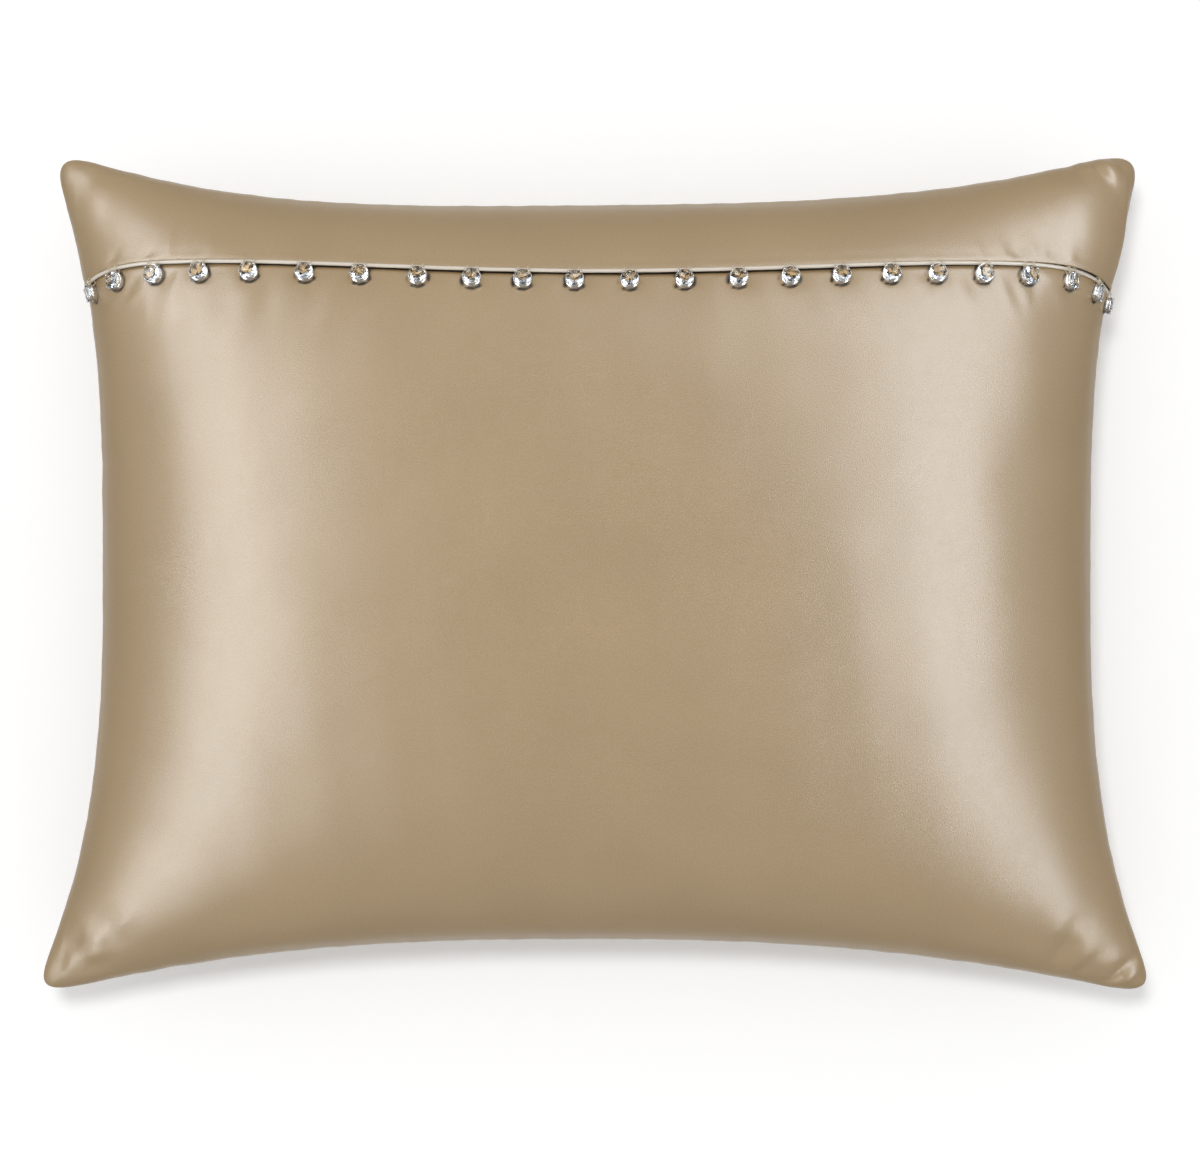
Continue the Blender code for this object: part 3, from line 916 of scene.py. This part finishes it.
def makeFlap():
    size = flapMake
    turnX = np.linspace(-quarter, quarter, size["columns"] + 1)
    trim = trimAngle(turnX)
    share = np.linspace(0, 1, size["rows"] + 1)[:, None] ** size["rowsCrowd"]
    turnY = trim + (quarter - trim) * share
    gridX = np.broadcast_to(turnX, turnY.shape).ravel()
    gridY = turnY.ravel()
    points = clothPoint(gridX, gridY)
    normals = clothNormal(gridX, gridY)
    relief = flapRelief(gridX, gridY, points)
    rim, _share = seamDistance(gridX, gridY, np.abs(points[:, 2]))
    rim = np.minimum(rim, np.abs(points[:, 1] - trimLine(points[:, 0])) + size["trimMargin"])
    taper = size["edgeShare"] + (1 - size["edgeShare"]) * (1 - np.exp(-rim / size["edge"]))
    inner = points + normals * (size["gap"] + relief)[:, None]
    outer = inner + normals * (size["thickness"] * taper)[:, None]
    top = np.arange(gridX.size).reshape(turnY.shape)
    under = top + gridX.size
    faces = [quads(top), quads(under, over=True)]
    edges = ((np.s_[0], True), (np.s_[-1], False), (np.s_[:, 0], False), (np.s_[:, -1], True))
    faces += [quads(np.stack([top[edge], under[edge]]), over) for edge, over in edges]
    faces = np.concatenate(faces)
    mesh = clothMesh("header flap", np.concatenate([outer, inner]), faces.tolist())
    addUv(mesh, np.tile(gridX, 2), np.tile(gridY, 2), np.zeros(len(faces), dtype=bool))
    return newPiece("headerFlap", mesh, "satin")


headerFlap = makeFlap()
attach(headerFlap, "root")
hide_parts("header_flap")
print("header flap:", len(headerFlap.data.polygons), "faces")


pipingMake = {
    "points": 900,
    "sides": 16,
    "radius": 0.00105,
    "gap": 0.0003,
    "overLeft": 1,  # how far it runs on round each side, in steps of the solids' grid
    "overRight": 3,
    "wander": 0.0001,
    "wanderNoise": (40, 31),
    "rise": 0.00003,
    "riseNoise": (32, 32),
    "smoothing": 7,
    "swell": 0.04,
    "swellNoise": (70, 33),
    "endRing": (0.25, 0.72),  # how far out and how wide the last ring is, in radii
    "endTip": 0.35,
}


def smoothPath(path, reach):
    kernel = np.hanning(2 * reach + 1)
    kernel /= kernel.sum()
    padded = np.concatenate([np.repeat(path[:1], reach, 0), path, np.repeat(path[-1:], reach, 0)])
    smoothed = np.stack([np.convolve(padded[:, axis], kernel, mode="valid") for axis in range(3)], axis=1)
    smoothed[0], smoothed[-1] = path[0], path[-1]
    return smoothed


def makePiping():
    size = pipingMake
    step = math.pi / solidGrid["columns"]
    first, last = -quarter - size["overLeft"] * step, quarter + size["overRight"] * step
    point, along, up, outward = trimFrame(np.linspace(first, last, size["points"]))
    x, y, radius = point[:, 0], point[:, 1], size["radius"]
    drift = size["wander"] * softNoise(x, y, *size["wanderNoise"])
    lift = size["rise"] * (1 + softNoise(x, y, *size["riseNoise"]))
    centre = point + (size["gap"] + radius) * (outward - up) + drift[:, None] * up + lift[:, None] * outward
    centre = smoothPath(centre, size["smoothing"])
    swell = radius * (1 + size["swell"] * softNoise(x, y, *size["swellNoise"]))
    count, around = size["points"], size["sides"]
    angles = np.linspace(0, math.tau, around, endpoint=False)[None, :, None]
    spokes = np.cos(angles) * outward[:, None, :] + np.sin(angles) * up[:, None, :]
    rings = centre[:, None, :] + swell[:, None, None] * spokes
    verts = [rings.reshape(-1, 3)]
    grid = np.arange(count * around).reshape(count, around)
    faces = quads(np.hstack([grid, grid[:, :1]]), over=True).tolist()
    for number, (index, direction) in enumerate(((0, -1), (count - 1, 1))):
        out, wide = size["endRing"]
        ahead = direction * along[index] * radius
        ring = centre[index] + ahead * out + (rings[index] - centre[index]) * wide
        base = (count + number) * around + number
        verts.append(np.vstack([ring, centre[index] + ahead * size["endTip"]]))
        for j in range(around):
            k = (j + 1) % around
            edge = (grid[index, j], grid[index, k], base + k, base + j)
            fan = (base + j, base + k, base + around)
            faces += [edge[::-direction], fan[::-direction]]
    mesh = clothMesh("piping cord", np.concatenate(verts), faces)
    length = np.concatenate([[0], np.cumsum(np.linalg.norm(np.diff(centre, axis=0), axis=1))])
    loops = loopVerts(mesh)
    ringIndex = np.minimum(loops // around, count - 1)
    uv = np.stack([length[ringIndex], (loops % around) * radius * math.tau / around], axis=1)
    mesh.uv_layers.new(name="cloth").data.foreach_set("uv", uv.ravel())
    return newPiece("pipingCord", mesh, "piping")


pipingCord = makePiping()
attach(pipingCord, "root")
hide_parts("piping")
print("piping:", len(pipingCord.data.polygons), "faces")


stoneMake = {
    "radius": 0.0048,
    "table": 0.0028,
    "tableHeight": 0.0044,
    "girdleLow": 0.003,
    "girdleHigh": 0.00335,
    "culet": 0.0015,
    "crownBreak": 0.00393,
    "pavilionBreak": 0.00255,
    "roll": 135,  # from each stone to the next, so that they don't glint alike
}
# painted reflections: each facet's colour stands in for the light and dark it would mirror or show through,
# such as the cream cloth under the table
paintedFacetLights = {
    "cream": (0.99, 0.97, 0.9, 1),
    "pale": (0.86, 0.87, 0.86, 1),
    "clear": (0.97, 0.98, 1.0, 1),
    "blue": (0.42, 0.47, 0.54, 1),
    "dark": (0.08, 0.075, 0.06, 1),
}
settingMake = {
    "side": (  # the cup's section: radius and height in millimetres
        (4, 0), (4.8, 0), (5.08, 0.06), (5.24, 0.22), (5.3, 0.5), (5.24, 0.78), (5.08, 0.94),
        (4.82, 1.02), (4.75, 1.12), (4.75, 1.78), (4.82, 1.88), (5.08, 1.96), (5.24, 2.12), (5.3, 2.4),
        (5.24, 2.68), (5.11, 2.84), (4.98, 2.9), (4.83, 2.88), (4, 2.1),
    ),
    "segments": 40,
    "clawLine": (  # radius and height in millimetres, and how thick it is there
        (5.05, 2.55, 0.9), (5.22, 2.9, 1), (5.35, 3.2, 1), (5.35, 3.65, 1), (5.21, 4.01, 1.05),
        (4.89, 4.23, 1.1), (4.5, 4.29, 0.9), (4.3, 4.21, 0.4),
    ),
    "claw": (0.0005, 0.00025),  # half its width and half its thickness
    "clawSides": 8,
    "clawTurns": (45, 135, 225, 315),
}


def stonePattern():
    size = stoneMake
    bm = bmesh.new()

    def ring(count, radius, height, start=0.0):
        turns = (math.radians(360 / count * k + start) for k in range(count))
        return [bm.verts.new((radius * math.cos(turn), radius * math.sin(turn), height)) for turn in turns]

    half = math.cos(math.radians(22.5))
    table = ring(8, size["table"], size["tableHeight"])
    slope = (size["girdleHigh"] - size["tableHeight"]) / (size["radius"] - size["table"])
    breakHeight = size["tableHeight"] + (size["crownBreak"] * half - size["table"]) * slope
    crown = ring(8, size["crownBreak"], breakHeight, 22.5)
    high = ring(16, size["radius"], size["girdleHigh"])
    low = ring(16, size["radius"], size["girdleLow"])
    share = 1 - size["pavilionBreak"] * half / size["radius"]
    breakHeight = size["girdleLow"] + (size["culet"] - size["girdleLow"]) * share
    pavilion = ring(8, size["pavilionBreak"], breakHeight, 22.5)
    culet = bm.verts.new((0, 0, size["culet"]))
    facetLights = []

    def facet(corners, facetLight):
        bm.faces.new(corners)
        facetLights.extend(paintedFacetLights[facetLight])

    facet(table, "cream")
    for k in range(8):
        before, after = (k - 1) % 8, (k + 1) % 8
        edge, middle, far = 2 * k, 2 * k + 1, (2 * k + 2) % 16
        facet((table[k], crown[k], table[after]), "dark" if k in (1, 4, 6) else "pale")
        facet((table[k], crown[before], high[edge], crown[k]), "blue" if k in (0, 3, 5) else "clear")
        facet((crown[k], high[edge], high[middle]), "blue" if k % 2 else "clear")
        facet((crown[k], high[middle], high[far]), "dark" if k in (2, 7) else "clear")
        facet((culet, pavilion[k], low[edge], pavilion[before]), "dark" if k in (2, 5) else "cream")
        facet((pavilion[k], low[middle], low[edge]), "blue" if k % 3 else "dark")
        facet((pavilion[k], low[far], low[middle]), "clear")
    for k in range(16):
        facet((high[k], low[k], low[(k + 1) % 16], high[(k + 1) % 16]), "pale")
    bmesh.ops.recalc_face_normals(bm, faces=bm.faces)
    mesh = meshOf("stone pattern", bm)
    mesh.attributes.new("facet tint", "FLOAT_COLOR", "FACE").data.foreach_set("color", facetLights)
    return mesh


def settingPattern():
    size = settingMake
    bm = bmesh.new()
    profile = [bm.verts.new(metres(radius, 0, height)) for radius, height in size["side"]]
    edges = [bm.edges.new((a, b)) for a, b in zip(profile, profile[1:] + profile[:1])]
    bmesh.ops.spin(bm, geom=edges, axis=(0, 0, 1), angle=math.tau, steps=size["segments"], use_merge=True)
    route = [(*metres(radius, height), swell) for radius, height, swell in size["clawLine"]]
    around = size["clawSides"]
    wide, thick = size["claw"]
    for degrees in size["clawTurns"]:
        turn = math.radians(degrees)
        outward = Vector((math.cos(turn), math.sin(turn), 0))
        sideways = Vector((-outward.y, outward.x, 0))
        rings = []
        for index, (radius, height, swell) in enumerate(route):
            last, ahead = route[max(0, index - 1)], route[min(len(route) - 1, index + 1)]
            run = Vector((ahead[0] - last[0], ahead[1] - last[1])).normalized()
            normal = outward * run.y - Vector((0, 0, 1)) * run.x
            middle = outward * radius + Vector((0, 0, height))
            angles = (math.tau * k / around for k in range(around))
            rings.append([bm.verts.new(middle + sideways * math.cos(angle) * wide * swell
                                       + normal * math.sin(angle) * thick * swell) for angle in angles])
        for first, second in zip(rings, rings[1:]):
            for k in range(around):
                bm.faces.new((first[k], first[(k + 1) % around], second[(k + 1) % around], second[k]))
        bm.faces.new(rings[0][::-1])
        bm.faces.new(rings[-1])
    bmesh.ops.recalc_face_normals(bm, faces=bm.faces)
    mesh = meshOf("setting pattern", bm)
    mesh.shade_smooth()
    return mesh


def newTree(name, kind, *labels):  # gives back each input's identifier, for setting it on the modifier
    tree = bpy.data.node_groups.new(name, "GeometryNodeTree")
    for way in ("INPUT", "OUTPUT"):
        tree.interface.new_socket("Geometry", in_out=way, socket_type="NodeSocketGeometry")
    sockets = [tree.interface.new_socket(label, in_out="INPUT", socket_type=kind) for label in labels]
    return tree, tree.nodes.new("NodeGroupInput").outputs, [socket.identifier for socket in sockets]


def setOnPoints(tree, points, instance, material):
    facing = addNode(tree, "GeometryNodeInputNamedAttribute", {"data_type": "FLOAT_VECTOR"}, Name="facing")
    turned = addNode(tree, "FunctionNodeEulerToRotation", i0=facing.outputs["Attribute"]).outputs[0]
    placed = addNode(tree, "GeometryNodeInstanceOnPoints", Points=points, Instance=instance, Rotation=turned)
    realized = addNode(tree, "GeometryNodeRealizeInstances", Geometry=placed.outputs[0])
    finished = addNode(tree, "GeometryNodeSetMaterial", Geometry=realized.outputs[0], Material=material)
    tree.links.new(finished.outputs[0], tree.nodes.new("NodeGroupOutput").inputs[0])


def patternTree(name, material):
    tree, start, ids = newTree(name, "NodeSocketObject", "Pattern")
    pattern = addNode(tree, "GeometryNodeObjectInfo", i0=start["Pattern"]).outputs["Geometry"]
    setOnPoints(tree, start["Geometry"], pattern, material)
    return tree, ids


wrapMake = {
    "thread": 0.00017,
    "threadSides": 6,
    "turns": 3.0,
    "steps": 18,  # in each turn
    "width": 0.0015,
    "spread": 26,
    "ring": 0.005,
    "ringHeight": 0.0005,
    "clear": 0.001,
}


def wrapTree(name, material):
    tree, start, ids = newTree(name, "NodeSocketFloat", "Thread radius", "Turns", "Loop radius", "Wrap width")
    loop = start["Loop radius"]
    coil = addNode(tree, "GeometryNodeCurveSpiral", i0=wrapMake["steps"], i1=start["Turns"], i2=loop, i3=loop,
                   Height=start["Wrap width"])
    thread = addNode(tree, "GeometryNodeCurvePrimitiveCircle", Resolution=wrapMake["threadSides"],
                     Radius=start["Thread radius"])
    tube = addNode(tree, "GeometryNodeCurveToMesh", i0=coil.outputs[0], i1=thread.outputs[0])
    tube.inputs["Fill Caps"].default_value = True
    setOnPoints(tree, start["Geometry"], tube.outputs[0], material)
    return tree, ids


def bakeTree(name, matrices, makeTree, values, finish, smooth):
    mesh = bpy.data.meshes.new(name + " places")
    mesh.from_pydata([matrix.translation for matrix in matrices], [], [])
    facing = mesh.attributes.new("facing", "FLOAT_VECTOR", "POINT")
    facing.data.foreach_set("vector", [value for matrix in matrices for value in matrix.to_euler()])
    host = linkObject(name + " places", mesh)
    modifier = host.modifiers.new("build", "NODES")
    modifier.node_group, ids = makeTree(name, finishes[finish])
    for identifier, value in zip(ids, values):
        modifier[identifier] = value
    bpy.context.view_layer.update()
    mesh = bpy.data.meshes.new_from_object(host.evaluated_get(bpy.context.evaluated_depsgraph_get()))
    host.modifiers.remove(modifier)
    mesh.name = name
    if "facing" in mesh.attributes:
        mesh.attributes.remove(mesh.attributes["facing"])
    bpy.data.objects.remove(host)
    return newPiece(name, mesh, finish, smooth)


def makeJewels(name, mesh, roll, finish, smooth):
    pattern = linkObject(name + " pattern", mesh)
    turned = [place @ Matrix.Rotation(math.radians(roll) * k, 4, "Z") for k, place in enumerate(jewelPlaces)]
    piece = bakeTree(name, turned, patternTree, [pattern], finish, smooth)
    bpy.data.objects.remove(pattern)
    return piece


def makeWraps():
    size = wrapMake
    spots, reaches = [], []
    height = pipingMake["gap"] + pipingMake["radius"]
    trim = zip(jewelPlaces, jewelPoint + standing, jewelAlong, jewelUp, jewelOut)
    for place, point, along, up, outward in trim:
        for side in (-1, 1):
            turn = math.radians(90 + side * size["spread"])
            spoke = Vector((math.cos(turn), math.sin(turn), 0))
            onRing = place @ (size["ring"] * spoke + Vector((0, 0, size["ringHeight"])))
            across = (onRing - Vector(point)).dot(Vector(along))
            onPiping = Vector(point + across * along + height * (outward - up))
            axisX = (onRing - onPiping).normalized()
            axisZ = place.to_3x3() @ Vector((-spoke.y, spoke.x, 0))
            axisZ = (axisZ - axisX * axisZ.dot(axisX)).normalized()
            turned = Matrix((axisX, axisZ.cross(axisX), axisZ)).transposed().to_4x4()
            turned.translation = (onRing + onPiping) / 2 - axisZ * size["width"] / 2
            spots.append(turned)
            reaches.append((onRing - onPiping).length / 2)
    values = [size["thread"], size["turns"], float(np.mean(reaches)) + size["clear"], size["width"]]
    return bakeTree("threadWraps", spots, wrapTree, values, "thread", smooth=True)


numbers = [f"{number:02d}" for number in range(1, len(jewelPlaces) + 1)]
jewelStones = makeJewels("jewelStones", stonePattern(), stoneMake["roll"], "crystal", smooth=False)
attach(jewelStones, "root")
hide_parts(*[f"stone_{number}" for number in numbers])
print("stones:", len(jewelStones.data.polygons), "faces")

jewelSettings = makeJewels("jewelSettings", settingPattern(), 0, "silver", smooth=True)
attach(jewelSettings, "root")
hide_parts(*[f"setting_{number}" for number in numbers])
print("settings:", len(jewelSettings.data.polygons), "faces")

threadWraps = makeWraps()
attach(threadWraps, "root")
print("thread wraps:", len(threadWraps.data.polygons), "faces")
